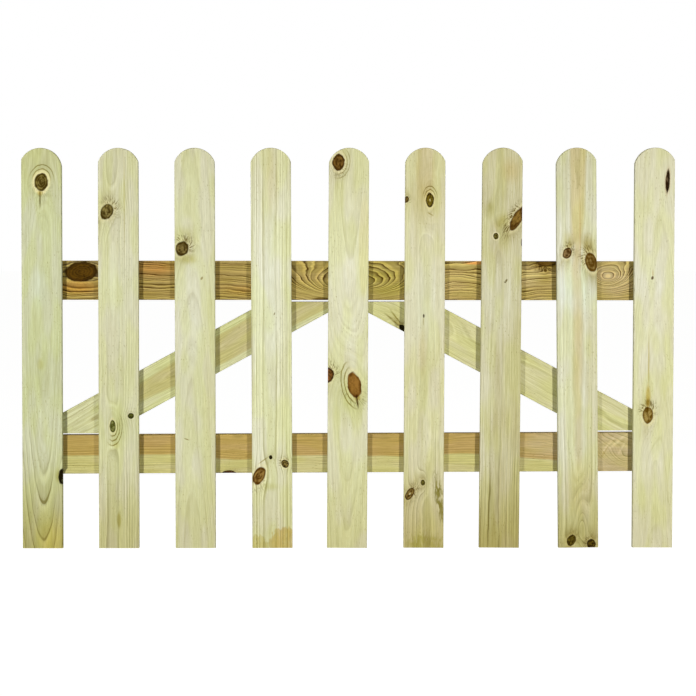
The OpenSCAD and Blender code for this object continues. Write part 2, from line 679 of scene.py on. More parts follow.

# %% [markdown]
# Stains are simpler: inside a soft, slightly ragged oval the colour is multiplied by a tone, so the
# grain still shows through. A tone above white lightens. Long thin ones make streaks and marks. A
# stain that dried from a puddle has a darker edge as well. The same patches also paint light: the
# wide bluish band at about 600 mm on the pales is a painted highlight, darker right thirds and lighter
# left thirds on some pales are painted shade and painted light, and near-black fills in the hollows
# are painted shade.

# %% Stains and marks
def stain_and_light_group():
    tree, size, output = start_group(
        "ShaderNodeTree", "Stain",
        {"Vector": "Point", "Color": "Colour, Tone",
         "Float": "Across, Along, Wide, Long, Turn, Soft, Ragged, Edge"},
        {"Color": "Colour"})
    place = x, _, z = split(size["Point"])
    u, v = turned_oval(size, x - size["Across"], z - size["Along"])
    cloud = grain(place, 6, 26, detail=3.0) - 0.5
    distance = root(u * u + v * v) + cloud * size["Ragged"]
    inside = 1.0 - ease(distance, 1.0 - size["Soft"], 1.0 + size["Soft"] * 0.5)
    inside = inside * (1.0 + size["Ragged"] * cloud * 2)
    toned = tint(inside, size["Colour"], size["Tone"])
    edge = hill(distance, 0.86, 0.97, 0.99, 1.06)
    return finish_group(tree, output, Colour=tint(edge * size["Edge"], toned, size["Tone"]))


stain_and_light_shape = stain_and_light_group()

# %% [markdown]
# Between the year lines a planed board is still full of fine streaks: fibres a few tenths of a
# millimetre thick, resin canals, and bands that took up more of the green treatment than others. Here
# and there lie short dark flecks and light nicks, a little across the grain.

# %% Fibre and colour drift
FLECK = (0.5, 0.44, 0.24)
NICK = (1.22, 1.22, 1.3)


def fibre_group():
    tree, size, output = start_group(
        "ShaderNodeTree", "Fibre",
        {"Vector": "Point", "Color": "Colour", "Float": "Radius, Streaks, Seed"},
        {"Color": "Colour", "Float": "Height"})
    place = x, y, z = split(size["Point"])
    seed = size["Seed"]
    hair = grain(place, 0.8, 25, shift=(0, seed, 0), detail=1.0)
    streak = grain(place, 2.6, 110, shift=(seed, 0, 0), detail=2.0)
    layer = noise_along(size["Radius"] / 1.3 + seed)
    bed = grain(place, 40, 70, shift=(0, seed * 1.7, 0))
    fleck = grain(place, 1.2, 8, shift=(z / 10, seed, 0))
    nick = noise([x / 1.6 - z / 12 + 40.0, y / 1.6 + seed, z / 5])
    green = grain(place, 24, 90, shift=(0, seed * 2.1, seed))
    wood = shade(ease(green, 0.36, 0.64), size["Colour"], (1.0, 1.0, 1.06), (0.98, 1.0, 0.89))
    wood = shade(0.5 + (ease(streak, 0.36, 0.64) - 0.5) * size["Streaks"], wood,
                 (1.06, 1.07, 1.1), (0.92, 0.91, 0.85))
    wood = shade(0.5 + (ease(layer, 0.35, 0.65) - 0.5) * size["Streaks"], wood,
                 (1.04, 1.04, 1.07), (0.95, 0.94, 0.9))
    wood = shade(ease(hair, 0.3, 0.7), wood, (1.08, 1.08, 1.1), (0.92, 0.92, 0.9))
    flecked = ease(fleck, 0.7, 0.78) * ease(bed, 0.45, 0.65)
    nicked = ease(nick, 0.72, 0.78) * ease(1.0 - bed, 0.45, 0.65)
    wood = tint(nicked * 0.6, tint(flecked * 0.8, wood, FLECK), NICK)
    return finish_group(tree, output, Colour=wood, Height=hair)


fibre_look = fibre_group()

# %% [markdown]
# ## What is written down for each board
#
# These three records hold what makes one board differ from the next. Their lengths are millimetres
# and their angles degrees, measured from the middle of the board's foot: across to the right, along
# the board, and depth into it. A field that bears the name of a group's input feeds it.

# %% Records of a board's figure, knots and stains
@dataclass
class Figure:
    """How the board's tree grew, and how much darker its top and foot are made.

    calm fades the lines towards the top, and bright is the tone of the light line next to a dark one.
    """

    spring: str
    warm: str
    summer: str
    contrast: float
    pith: tuple
    calm: float = 0.0
    bright: float = 1.14
    bands: float = 0.25
    drift: tuple = (0.0, 0.0)
    bow: float = 0.0
    year: float = 4.5
    phase: float = 0.0
    late: float = 0.72
    wander: float = 8.0
    ripple: float = 1.0
    streaks: float = 0.7
    heart: str = "#000000"
    heart_radius: float = 0.0
    end_darkening: tuple = (0.0, 0.0)
    seed: float = 0.0


@dataclass
class Knot:
    """A branch in the board. One without a core colour is hidden, and only bends the grain.

    turn leans its top to the right. Its hairs lie on the side that brush points to, and its arcs
    where arcs_at points.
    """

    across: float
    along: float
    wide: float
    long: float
    core: str = ""
    rim: str = ""
    turn: float = 0.0
    dark: float = 0.85
    rings: float = 14.0
    ringed: float = 0.3
    blotches: float = 0.8
    halo: float = 0.4
    smudge: float = 0.3
    hairs: float = 0.4
    brush: float = 0.0
    arcs: float = 0.0
    arcs_at: float = 0.0
    arc_rate: float = 13.0
    arc_reach: float = 2.4
    eye: float = 0.0
    push: float = 0.7
    swell: float = 5.0


@dataclass
class Stain:
    """A patch whose colour is multiplied by a tone, for discolouring and for painted highlight and shade.
    soft is the share over which its rim fades.
    """

    across: float
    along: float
    wide: float
    long: float
    tone: tuple
    soft: float = 0.9
    turn: float = 0.0
    ragged: float = 0.5
    edge: float = 0.0


print("records are ready")

# %% [markdown]
# ## One board's pine
#
# The recipe follows the order in which the wood came about: growth round the knots, a drift of warmer
# bands along it, the heart, dark year lines, fibre, the knots themselves, and stains and patches of
# painted light on top. Towards its top and its foot a board is made darker, and its end grain darker
# still.

# %% The recipe
END_DARKENING_TONE = (0.66, 0.58, 0.3)
END_GRAIN = (0.72, 0.68, 0.56)
TOP_DARKENING_REACH = 170.0
FOOT_DARKENING_REACH = 351.0
UNEVEN_DARKENING = 60.0
CALM_FROM = 0.16
CALM_TO = 0.42
HEART_EDGE = 1.5
RELIEF = 0.3 * MM
ROUGHNESS = 0.78
LINE_SHINE = 0.12


def start_material(name):
    """An empty material: itself and its tree."""
    material = bpy.data.materials.new(name)
    material.use_nodes = True
    material.node_tree.nodes.clear()
    return material, material.node_tree


def finish_material(tree, surface):
    """Connect a material's surface."""
    add_node(tree, "ShaderNodeOutputMaterial", {"Surface": surface})


def end_grain(tree, board):
    """1 on the sawn ends and 0 on the faces."""
    normal = output_of(tree, "ShaderNodeNewGeometry", port="Normal")
    facing = output_of(tree, "ShaderNodeVectorMath", [normal, lengthwise(board.turn)], port="Value",
                       operation="DOT_PRODUCT")
    return ease(math_node("ABSOLUTE", facing), 0.45, 0.8)


def pine(board, figure, knots=(), stains_and_painted_light=()):
    """A material for one board. Its point is a place in the board's own millimetres."""
    material, tree = start_material("pine_of_" + board.node)
    point = output_of(tree, "ShaderNodeMapping", {
        "Vector": output_of(tree, "ShaderNodeTexCoord", port="Object"), "Location": board.place,
        "Rotation": (0, board.turn, 0), "Scale": (MM, MM, MM)}, vector_type="TEXTURE")
    place = split(point)
    height = place[2]
    bends = [use_group(tree, knot_shape, knot, Point=point) for knot in knots]
    years = use_group(tree, growth, figure, Point=point,
                      Shift=sum((bend["Shift"] for bend in bends), 0.0),
                      Lift=sum((bend["Lift"] for bend in bends), 0.0),
                      Pith_across=figure.pith[0], Pith_depth=figure.pith[1],
                      Drift_across=figure.drift[0], Drift_deep=figure.drift[1])

    radius = years["Radius"]
    bands = ease(noise_along(radius / 9 + figure.seed * 2.3), 0.35, 0.7)
    clouds = grain(place, 30, 150, shift=(figure.seed, 0, 0), detail=2.0)
    wood = blend(bands * figure.bands + clouds * 0.8, figure.spring, figure.warm)
    if figure.heart_radius:
        rim = (figure.heart_radius - HEART_EDGE, figure.heart_radius + HEART_EDGE)
        wood = tint(1.0 - ease(radius, *rim), wood, figure.heart)
    top = board.length / MM
    foot = 1.0 - ease(height, 0, FOOT_DARKENING_REACH)
    patch = ease(grain(place, 22, 170, shift=(0, figure.seed, 0)), 0.3, 0.7)
    calm = ease(height, CALM_FROM * top, CALM_TO * top) * figure.calm
    clear = (0.5 + 0.8 * patch) * (1.0 - calm) * figure.contrast
    bright = (figure.bright, figure.bright, figure.bright * 0.98)
    wood = shade(years["Early"] * clear, wood, (1.0, 1.0, 1.0), bright)
    wood = blend(years["Line"] * clear * (0.95 + foot * 0.5), wood, figure.summer)
    fibre = use_group(tree, fibre_look, figure, Colour=wood, Point=point, Radius=radius)
    wood = fibre["Colour"]
    for knot, bend in zip(knots, bends):
        if knot.core:
            wood = use_group(tree, knot_wood, knot, Colour=wood, Point=point, **bend)["Colour"]
    # stains and marks, and patches of painted highlight and painted shade, laid on top
    for painted_patch in stains_and_painted_light:
        wood = use_group(tree, stain_and_light_shape, painted_patch, Colour=wood, Point=point)["Colour"]
    # darker towards the top end and the foot of the board
    uneven = clouds * UNEVEN_DARKENING - UNEVEN_DARKENING / 2
    end_darkening = ease(height + uneven, top - TOP_DARKENING_REACH, top) * figure.end_darkening[0]
    wood = tint(end_darkening + foot * foot * figure.end_darkening[1], wood, END_DARKENING_TONE)
    wood = tint(end_grain(tree, board), wood, END_GRAIN)

    bump = output_of(tree, "ShaderNodeBump", {"Strength": 0.5, "Distance": RELIEF,
                                              "Height": years["Line"] * 0.6 + fibre["Height"] * 0.5})
    finish_material(tree, output_of(tree, "ShaderNodeBsdfPrincipled", {
        "Base Color": wood, "Roughness": ROUGHNESS - years["Line"] * LINE_SHINE, "Normal": bump,
        "Specular IOR Level": 0.03}))
    return material


print("recipe is ready")

# %% [markdown]
# ## The nine pales
#
# The pales are pale green-cream sapwood, each from a different board. The first three: one with a big
# dead knot near its top and tall arches at its foot, one with a swirl round a small olive knot, and
# one that is nearly plain.

# %% Pales 1 to 3
WOODS = {}

WOODS["pale_1"] = (
    Figure("#D1D3B1", "#C2C598", "#766C28", 0.5, (2, 64), calm=0.8, bright=1.2, drift=(0, -0.015), bow=12,
           year=5.4, late=0.82, wander=5, end_darkening=(0.4, 0.85), seed=1),
    [Knot(0, 844, 30, 41, "#84763E", "#44350A", turn=6, dark=0.95, rings=22, ringed=0.6, halo=0.8,
          smudge=0.2, hairs=0.3, brush=180, arcs=0.9, swell=8),
     Knot(49, 166, 12, 36, push=1.5, swell=3)],
    # painted shade in the crack below the knot, and darker wood along it
    [Stain(-3, 806, 4, 46, (0.5, 0.42, 0.24)),
     Stain(-3, 818, 14, 16, (0.75, 0.66, 0.36)),
     # painted highlight: a bluish-white band of sheen across the pale at this height
     Stain(-6, 600, 46, 110, (1.04, 1.07, 1.14), 0.7),
     Stain(-4, 425, 16, 30, (0.9, 0.87, 0.66), 0.8),
     # painted shade: near-black fill inside the hollow where the knot fell out
     Stain(45, 166, 17, 38, (0.05, 0.035, 0.015), 0.15),
     Stain(36, 168, 14, 34, (0.8, 0.76, 0.5), ragged=0.9),
     Stain(0, 880, 120, 180, (1.12, 1.14, 1.12)),
     Stain(0, 415, 120, 220, (0.94, 0.95, 0.88)),
     Stain(26, 10, 80, 130, (1.16, 1.08, 0.72), ragged=0.6)])

WOODS["pale_2"] = (
    Figure("#DBD9BA", "#CBCA9F", "#7E7434", 0.52, (-14, 42), calm=0.4, year=4.4, late=0.64, wander=4,
           end_darkening=(0.1, 0.5), seed=2),
    [Knot(-26, 776, 28, 37, "#8A7C46", "#3C2E04", turn=25, halo=0.3, smudge=0.5, hairs=0.8, brush=20,
          swell=6),
     Knot(-14, 282, 14, 28, "#84844E", "#464612", dark=0.6, halo=0.5, smudge=0.1, hairs=0.1, arcs=1,
          arcs_at=130, arc_rate=8, arc_reach=3.8, push=0.5, swell=8),
     Knot(28, 306, 14, 13, "#5A5A26", "#2A2A02", halo=0.3, smudge=0.1)],
    [Stain(0, 65, 11, 40, (0.76, 0.72, 0.48), 0.5),
     Stain(-30, 800, 50, 60, (0.93, 0.92, 0.78)),
     Stain(-6, 238, 16, 20, (0.86, 0.84, 0.68), 0.7, ragged=0.8),
     Stain(14, 800, 3, 300, (0.84, 0.8, 0.62), 0.8, ragged=0.8),
     # painted highlight: a bluish-white band of sheen across the pale at this height
     Stain(0, 600, 90, 160, (1.03, 1.05, 1.08)),
     Stain(0, 285, 120, 110, (0.93, 0.95, 0.84)),
     Stain(4, 330, 34, 560, (0.96, 0.97, 0.9))])

WOODS["pale_3"] = (
    Figure("#DAD8BA", "#CDCDA3", "#9A8F52", 0.24, (-6, 66), bands=0.15, drift=(0, 0.03), year=5, wander=9,
           streaks=0.5, end_darkening=(0.1, 0.3), seed=3),
    [Knot(-29, 691, 29, 33, "#7C6C3A", "#3E2E06", turn=20, halo=0.3, smudge=0.5, hairs=1, brush=10,
          swell=6)],
    [Stain(16, 623, 5, 9, (0.5, 0.42, 0.28), 0.5, turn=30),
     Stain(-20, 252, 13, 3, (0.5, 0.44, 0.28), 0.5, turn=20),
     Stain(-14, 667, 40, 26, (0.8, 0.77, 0.5), ragged=1.3),
     Stain(-20, 722, 50, 50, (0.9, 0.9, 0.7), ragged=0.8),
     # painted highlight: a bluish-white band of sheen across the pale at this height
     Stain(0, 550, 90, 260, (1.03, 1.04, 1.1)),
     # painted shade: the right third darker and yellower, where less light fell
     Stain(34, 360, 40, 760, (0.95, 0.94, 0.83))])

print(len(WOODS), "boards described")

# %% [markdown]
# The middle three. Pale 4 stood in stain while it was treated, so its foot is brown up to a wavy
# line. Pale 5 has the biggest and reddest knots. Pale 6 has a knot like an eye, with rings round it.

# %% Pales 4 to 6
WOODS["pale_4"] = (
    Figure("#E5E4C9", "#D6D7AE", "#8E8438", 0.48, (-6, 40), bright=1.2, drift=(0.004, 0), year=4.6,
           phase=0.64, late=0.7, wander=2, end_darkening=(0.25, 0.4), seed=4),
    [Knot(-30, 168, 26, 43, "#9A7A3E", "#503202", turn=25, dark=0.95, hairs=0.6, brush=180, swell=1),
     Knot(30, 195, 17, 19, "#907A44", "#322600", turn=-20, dark=0.95, halo=0.7, hairs=0.9, brush=-20,
          swell=1),
     Knot(-3, 210, 8, 10, "#2A240A", "#1A1600", halo=0.3, hairs=0.2, swell=1)],
    [Stain(7, 541, 3, 8, (0.4, 0.35, 0.22), 0.5, turn=20),
     Stain(-20, 203, 30, 3, (0.6, 0.54, 0.3), 0.6, turn=-35),
     Stain(-4, 142, 40, 20, (0.86, 0.86, 0.66), ragged=1),
     # painted highlight: a bluish-white band of sheen across the pale at this height
     Stain(0, 580, 70, 300, (1.04, 1.05, 1.14)),
     Stain(0, 850, 30, 160, (1, 0.95, 0.9)),
     # painted shade: the right third darker and yellower, where less light fell
     Stain(34, 360, 40, 760, (0.94, 0.94, 0.82)),
     Stain(30, 6, 70, 82, (0.84, 0.69, 0.4), 0.16, ragged=0.9, edge=0.5),
     Stain(-36, 0, 56, 60, (0.86, 0.8, 0.54), 0.2, ragged=0.9, edge=0.4)])

WOODS["pale_5"] = (
    Figure("#E0DFC0", "#CECC9B", "#988E4C", 0.24, (4, 92), bands=0.15, drift=(0, -0.03), year=4.8,
           streaks=0.55, end_darkening=(0.1, 0.4), seed=5),
    [Knot(-24, 889, 27, 38, "#7C5C28", "#442C04", turn=4, dark=0.95, halo=0.6, smudge=0.4, hairs=0.5,
          brush=170, arcs=0.7, arcs_at=110),
     Knot(-46, 400, 27, 34, "#94602E", "#3A2608", turn=10, dark=0.95, hairs=0.9, brush=20),
     Knot(15, 377, 30, 58, "#9A6E32", "#5A360C", turn=-12, dark=0.95, rings=9, ringed=0.2, blotches=0.3,
          smudge=0.2, hairs=0.5, brush=200, arcs=1, arcs_at=-90, swell=14)],
    [Stain(36, 695, 26, 250, (1, 0.97, 0.84), 0.25, ragged=0.3),
     Stain(22, 340, 5, 34, (0.36, 0.26, 0.14), 0.6, turn=-10),
     # painted shade in the crack, and darker wood along it
     Stain(22, 348, 16, 16, (0.7, 0.58, 0.3), 0.7, turn=-10, ragged=0.8),
     # painted highlight: a bluish-white band of sheen across the pale at this height
     Stain(0, 600, 90, 360, (1.07, 1.07, 1.17)),
     Stain(0, 352, 110, 130, (0.88, 0.9, 0.72))])

WOODS["pale_6"] = (
    Figure("#DEDABA", "#CCC798", "#867A3C", 0.42, (6, 60), calm=0.6, bands=0.2, drift=(0, 0.004),
           year=4.6, wander=5, end_darkening=(0.1, 0.8), seed=6),
    [Knot(11, 802, 18, 33, "#7A6B22", "#3A2C00", halo=0.6, smudge=0.2, hairs=0.1, arcs=1, eye=0.7,
          push=0.9, swell=14),
     Knot(-43, 803, 11, 15, "#7A6430", "#33260A", turn=15, halo=0.3, hairs=0.7, brush=60, swell=3),
     Knot(-2, 151, 10, 13, "#787032", "#302A00", smudge=0.5, hairs=0.6, swell=9),
     Knot(-32, 125, 17, 31, "#8C7640", "#483000", turn=30, dark=0.95, halo=0.3, smudge=0.6, hairs=1,
          brush=40, eye=0.7, swell=4)],
    [Stain(-2, 536, 4, 9, (0.08, 0.05, 0.03), 0.3),
     Stain(-3, 524, 2, 18, (0.6, 0.52, 0.36), 0.7),
     Stain(0, 875, 48, 170, (0.92, 0.86, 0.74), 0.4),
     Stain(12, 770, 16, 3, (0.6, 0.54, 0.3), 0.6, turn=30),
     Stain(0, 800, 90, 110, (0.9, 0.87, 0.69)),
     Stain(-4, 455, 22, 120, (0.95, 0.9, 0.78), 0.8),
     # painted highlight: a bluish-white band of sheen across the pale at this height
     Stain(0, 560, 90, 220, (1.07, 1.11, 1.22)),
     Stain(0, 400, 30, 600, (0.92, 0.93, 0.86)),
     Stain(37, 112, 20, 124, (0.42, 0.4, 0.16), 0.4, turn=-10, ragged=3.8),
     Stain(8, 4, 100, 56, (0.76, 0.76, 0.48), 0.35, ragged=2.8, edge=0.3)])

print(len(WOODS), "boards described")

# %% [markdown]
# The last three. Pale 7 is cut through a knot at its right edge. Pale 8 shows the warm heart of the
# tree as a stripe between greenish edges, and four knots. Pale 9 has a resin pocket that has opened
# into a slit, which is a real hole and comes later.

# %% Pales 7 to 9
WOODS["pale_7"] = (
    Figure("#D3CFA9", "#BEB88B", "#766C34", 0.55, (-14, 46), calm=0.65, drift=(0.01, 0.002), year=3.8,
           phase=0.3, late=0.68, wander=3, streaks=1, end_darkening=(0.15, 0.8), seed=7),
    [Knot(35, 760, 23, 60, "#8A6C2E", "#4A3008", turn=30, dark=0.8, rings=8, smudge=0.6, hairs=1,
          brush=250, swell=2),
     Knot(-14, 719, 12, 15, "#736930", "#2A2400", dark=0.95, halo=0.5, smudge=0.1, hairs=0.2, swell=2)],
    [Stain(-30, 782, 24, 44, (0.8, 0.79, 0.6), ragged=1.5),
     Stain(-2, 752, 30, 50, (0.82, 0.78, 0.56), turn=50, ragged=1.2),
     Stain(20, 870, 50, 60, (0.94, 0.86, 0.7)),
     Stain(11, 617, 5, 9, (0.3, 0.26, 0.16), 0.5, turn=30),
     Stain(8, 613, 6, 3, (0.3, 0.26, 0.16), 0.5, turn=30),
     # painted shade in the crack, and darker wood along it
     Stain(45, 705, 3, 20, (0.2, 0.16, 0.1), 0.4),
     # painted highlight: a bluish-white band of sheen across the pale at this height
     Stain(0, 570, 90, 170, (1.09, 1.12, 1.24)),
     Stain(0, 870, 120, 110, (1.07, 1.08, 1.08)),
     Stain(0, 290, 120, 110, (0.95, 0.94, 0.84)),
     # painted light: the left third lighter and bluer, where more light fell
     Stain(-32, 330, 40, 580, (1.1, 1.12, 1.22)),
     # painted shade: the right third darker and yellower, where less light fell
     Stain(34, 330, 38, 580, (0.94, 0.93, 0.83))])

WOODS["pale_8"] = (
    Figure("#D9D9C0", "#D0CFA9", "#8C8446", 0.42, (0, 51.9), calm=0.4, drift=(0.003, -0.0045), year=4,
           wander=4, heart="#F8ECD2", heart_radius=51, end_darkening=(0.2, 0.8), seed=8),
    [Knot(-22, 680, 19, 27, "#8C7246", "#422A06", turn=25, dark=0.95, smudge=0.9, hairs=0.9, swell=1),
     Knot(33, 659, 26, 44, "#8C743C", "#543A08", turn=-15, dark=0.9, halo=0.5, smudge=0.9, hairs=0.9,
          brush=-30, swell=1),
     Knot(-16, 17, 19, 27, "#766A28", "#3C2E00", turn=30, rings=20, halo=0.3, smudge=0.8, hairs=0.5),
     Knot(30, 8, 20, 22, "#6C5C1C", "#261600", dark=0.95, halo=0.2, smudge=0.8, hairs=0.8, brush=320,
          swell=4),
     Knot(8, 48, 17, 46, push=0, swell=14)],
    [Stain(8, 715, 3, 230, (0.96, 0.84, 0.76), 0.8, ragged=0.6),
     Stain(-20, 708, 26, 44, (0.84, 0.8, 0.56), ragged=1),
     Stain(26, 700, 32, 50, (0.8, 0.75, 0.5), turn=-10, ragged=1),
     Stain(0, 690, 110, 160, (1.08, 1.08, 1.12)),
     # painted highlight: a bluish-white band of sheen across the pale at this height
     Stain(0, 590, 110, 110, (1.08, 1.14, 1.32)),
     Stain(4, 140, 64, 150, (0.97, 0.92, 0.76), 0.7, ragged=0.8),
     # painted light: the left third lighter and bluer, where more light fell
     Stain(-32, 380, 34, 700, (1.07, 1.07, 1.1)),
     # painted shade: the right third darker and yellower, where less light fell
     Stain(34, 330, 34, 600, (0.97, 0.94, 0.84))])

WOODS["pale_9"] = (
    Figure("#E1DEC1", "#D3D1A8", "#A09858", 0.18, (8, 80), bands=0.15, drift=(0, 0.028), year=4.8,
           wander=9, streaks=0.5, end_darkening=(0.1, 0.3), seed=9),
    [Knot(-12, 306, 24, 38, "#A48C50", "#5C420A", dark=0.8, rings=8, halo=0.5, smudge=0.4, hairs=1,
          swell=8)],
    [Stain(29.5, 845, 13, 60, (0.72, 0.5, 0.36), 0.8, turn=3),
     # painted shade: near-black fill inside the open resin pocket
     Stain(29.5, 845, 10, 54, (0.06, 0.035, 0.015), 0.2, turn=3, ragged=1),
     Stain(-4, 623, 6, 9, (0.16, 0.1, 0.06), 0.4, turn=20),
     Stain(-3, 634, 3, 18, (0.85, 0.7, 0.56), 0.8),
     Stain(-12, 334, 14, 24, (0.5, 0.4, 0.16), 0.8, ragged=1.2),
     Stain(-12, 350, 12, 56, (0.8, 0.66, 0.34), 0.6),
     Stain(-11, 430, 4, 130, (0.8, 0.72, 0.46), 0.8),
     # painted highlight: a bluish-white band of sheen across the pale at this height
     Stain(0, 620, 120, 110, (1.04, 1.05, 1.13)),
     Stain(0, 330, 120, 160, (0.97, 0.97, 0.84)),
     Stain(0, 110, 120, 130, (0.97, 0.98, 0.86)),
     # painted shade: the right third darker and yellower, where less light fell
     Stain(34, 360, 36, 760, (0.96, 0.96, 0.86))])

print(len(WOODS), "boards described")

# %% [markdown]
# ## Rails and braces
#
# The upper rail is brown heartwood with strong, wavy lines and one huge knot. The lower rail was cut
# across the line between heart and sap, so it is honey above and green-yellow below. Some of their
# knots are hidden by a pale, and only the grain that swells round them shows. On a rail, along runs
# to the right and across runs down.

# %% The rails
WOODS["upper_rail"] = (
    Figure("#B7A564", "#998349", "#4E3408", 1.35, (-72, 22), bright=1.5, drift=(0.004, 0), year=6,
           late=0.6, wander=16, ripple=7, streaks=1, seed=10),
    [Knot(-20, 136, 46, 76, "#60440E", "#332204", turn=-8, dark=0.8, rings=34, ringed=0.5, blotches=0.3,
          halo=0.12, smudge=0, hairs=0.2, brush=90, push=0.9, swell=12),
     Knot(14, 765, 46, 79, push=0, swell=-95),
     Knot(-20, 1090, 40, 56, push=0.9, swell=-14),
     Knot(-44, 1208, 22, 46, "#705620", "#42300A", halo=0, smudge=1, hairs=1, brush=90, swell=12),
     Knot(-24, 1205, 8, 8, "#7A5E24", "#4A360E", halo=0, hairs=0.3),
     Knot(-6, 1350, 30, 26, push=0.3, swell=-55)],
    [Stain(0, 330, 130, 640, (0.84, 0.8, 0.74), 0.6),
     Stain(16, 128, 34, 100, (1.16, 0.86, 0.7), 0.8),
     Stain(0, 110, 120, 110, (0.94, 0.93, 0.74), 0.8),
     Stain(-28, 305, 40, 110, (1.12, 0.84, 0.7), ragged=0.8),
     Stain(22, 510, 26, 110, (1.06, 0.94, 0.8), ragged=0.8),
     Stain(44, 690, 12, 50, (0.3, 0.24, 0.14), 0.5, ragged=0.8),
     Stain(0, 835, 110, 130, (0.92, 0.99, 0.76), 0.7),
     Stain(-41, 1045, 9, 60, (1.25, 0.78, 0.66), 0.6),
     Stain(-12, 1168, 56, 60, (1.26, 1.32, 1.8), 0.8, ragged=0.8),
     Stain(0, 1015, 110, 130, (1.1, 1.1, 1.2), 0.7, ragged=0.6),
     Stain(-38, 1155, 24, 26, (0.75, 0.75, 0.85), ragged=1),
     Stain(-40, 1195, 26, 40, (0.7, 0.6, 0.4), ragged=1.4),
     Stain(-6, 1362, 100, 110, (1.22, 1.26, 1.85), 0.7, ragged=1)])

WOODS["lower_rail"] = (
    Figure("#C7C189", "#C1B87C", "#7E6E2C", 0.6, (-52, 48), bright=1.16, year=3.4, wander=12, ripple=3,
           streaks=1, heart="#EACFB6", heart_radius=74, seed=11),
    [Knot(46, 475, 14, 32, "#5A3A1A", "#2A1808", halo=0, hairs=0.3, swell=3),
     Knot(10, 485, 50, 44, push=0, swell=-9),
     Knot(0, 1175, 60, 45, push=0, swell=-6),
     Knot(20, 1400, 120, 62, push=0, swell=-64),
     Knot(-6, 1390, 40, 50, push=0.6, swell=9)],
    [Stain(-18, 1210, 66, 150, (1.12, 1.26, 1.8), 0.65, ragged=0.6),
     Stain(0, 1385, 130, 230, (1.12, 1.32, 2.05), 0.45, ragged=0.6),
     Stain(-16, 1352, 7, 50, (1.26, 1.28, 1.45), turn=-52, ragged=1.4),
     Stain(-22, 1372, 8, 56, (1.3, 1.32, 1.5), turn=-40, ragged=1.4),
     Stain(-10, 1384, 6, 40, (1.22, 1.24, 1.4), turn=-60, ragged=1.4),
     Stain(-2, 1345, 4, 40, (0.8, 0.76, 0.6), 0.8, turn=-58, ragged=1.4)])

print(len(WOODS), "boards described")

# %% [markdown]
# Each brace is its own board too. The left one has a tan heart that widens as the brace climbs. The
# right one is greener, with a small black knot in its lower edge near the top.

# %% The braces
WOODS["left_brace"] = (
    Figure("#D0D0A3", "#C3C38E", "#8E8240", 0.42, (0, 45), bright=1.08, drift=(0, -0.03), year=4.6,
           ripple=2, streaks=0.8, heart="#EEE3D4", heart_radius=44, seed=12),)

WOODS["right_brace"] = (
    Figure("#D1CC9E", "#C6C38B", "#8A8644", 0.36, (8, 60), bright=1.06, drift=(0, -0.006), year=4.4,
           wander=10, ripple=2, seed=13),
    [Knot(-41, 573, 15, 26, "#2E260C", "#141004", turn=20, halo=0, smudge=0.9, hairs=1, brush=20,
          swell=12),
     Knot(20, 420, 30, 40, push=0.4, swell=10)],
    [Stain(-34, 606, 5, 50, (0.45, 0.4, 0.2), 0.8, turn=14, ragged=1.2),
     Stain(-24, 604, 4, 44, (0.55, 0.5, 0.28), 0.8, turn=24, ragged=1.2)])

print(len(WOODS), "boards described")

# %% [markdown]
# ## Saw the boards
#
# Each board is grown by its tree, gets its own pine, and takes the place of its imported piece.

# %% The thirteen boards
def saw(board, tree, extra):
    """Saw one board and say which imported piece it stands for."""
    piece = grow(board.node + "_board", tree, {
        "Width": board.width, "Thickness": board.thickness, "Length": board.length, "Eased": EASED,
        "Turn": board.turn, "Place": board.place, "Material": pine(board, *WOODS[board.node]), **extra})
    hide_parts(board.node)
    return piece


boards = {}
for board, shift in zip(pales, ARCH_SHIFTS):
    boards[board.node] = saw(board, round_top, {"Arch radius": ARCH_RADIUS, "Arch shift": shift * MM})
for board in (lower_rail, upper_rail, left_brace, right_brace):
    boards[board.node] = saw(board, sawn_board, {"Slant": board.slant})
print(len(boards), "boards,", sum(len(piece.data.polygons) for piece in boards.values()), "faces")

# %% [markdown]
# ## Flaws that are real hollows
#
# Some flaws are holes and not just colour: the knot that fell out of pale 1's edge, a resin pocket in
# pale 9 that dried open, and fine cracks below two of the knots. Each is a rough lens, cut out of the
# board. Patches given above darken the wood inside as painted shade, nearly black in the knot hole
# and the pocket, and along the cracks they also darken the wood beside them.

# %% Lens-shaped cutters
LENS_ROUGHNESS = 0.12
ROUGH_GRAIN = 3.0
BALL_STEPS = 4


@dataclass
class Hollow:
    """A lens in a board's front face, in millimetres as a stain is."""

    across: float
    along: float
    wide: float
    long: float
    deep: float
    turn: float = 0.0


def cutter_of(name, shape):
    """Turn a finished bmesh into an object to cut with."""
    mesh = bpy.data.meshes.new(name)
    shape.to_mesh(mesh)
    shape.free()
    return add_object(name, mesh)


def lens(board, hollow):
    """A ball squeezed to a lens, roughened, and set into the board."""
    shape = bmesh.new()
    bmesh.ops.create_icosphere(shape, subdivisions=BALL_STEPS, radius=1.0)
    turn = Quaternion((0, 1, 0), math.radians(hollow.turn))
    lie = Quaternion((0, 1, 0), board.turn)
    middle = Vector((hollow.across, 0, hollow.along))
    for point in shape.verts:
        rough = 1.0 + LENS_ROUGHNESS * solid_noise(point.co * ROUGH_GRAIN)
        spot = Vector((point.co.x * hollow.wide / 2, point.co.y * hollow.deep,
                       point.co.z * hollow.long / 2)) * rough
        point.co = board.place + lie @ ((middle + turn @ spot) * MM)
    return cutter_of("lens", shape)


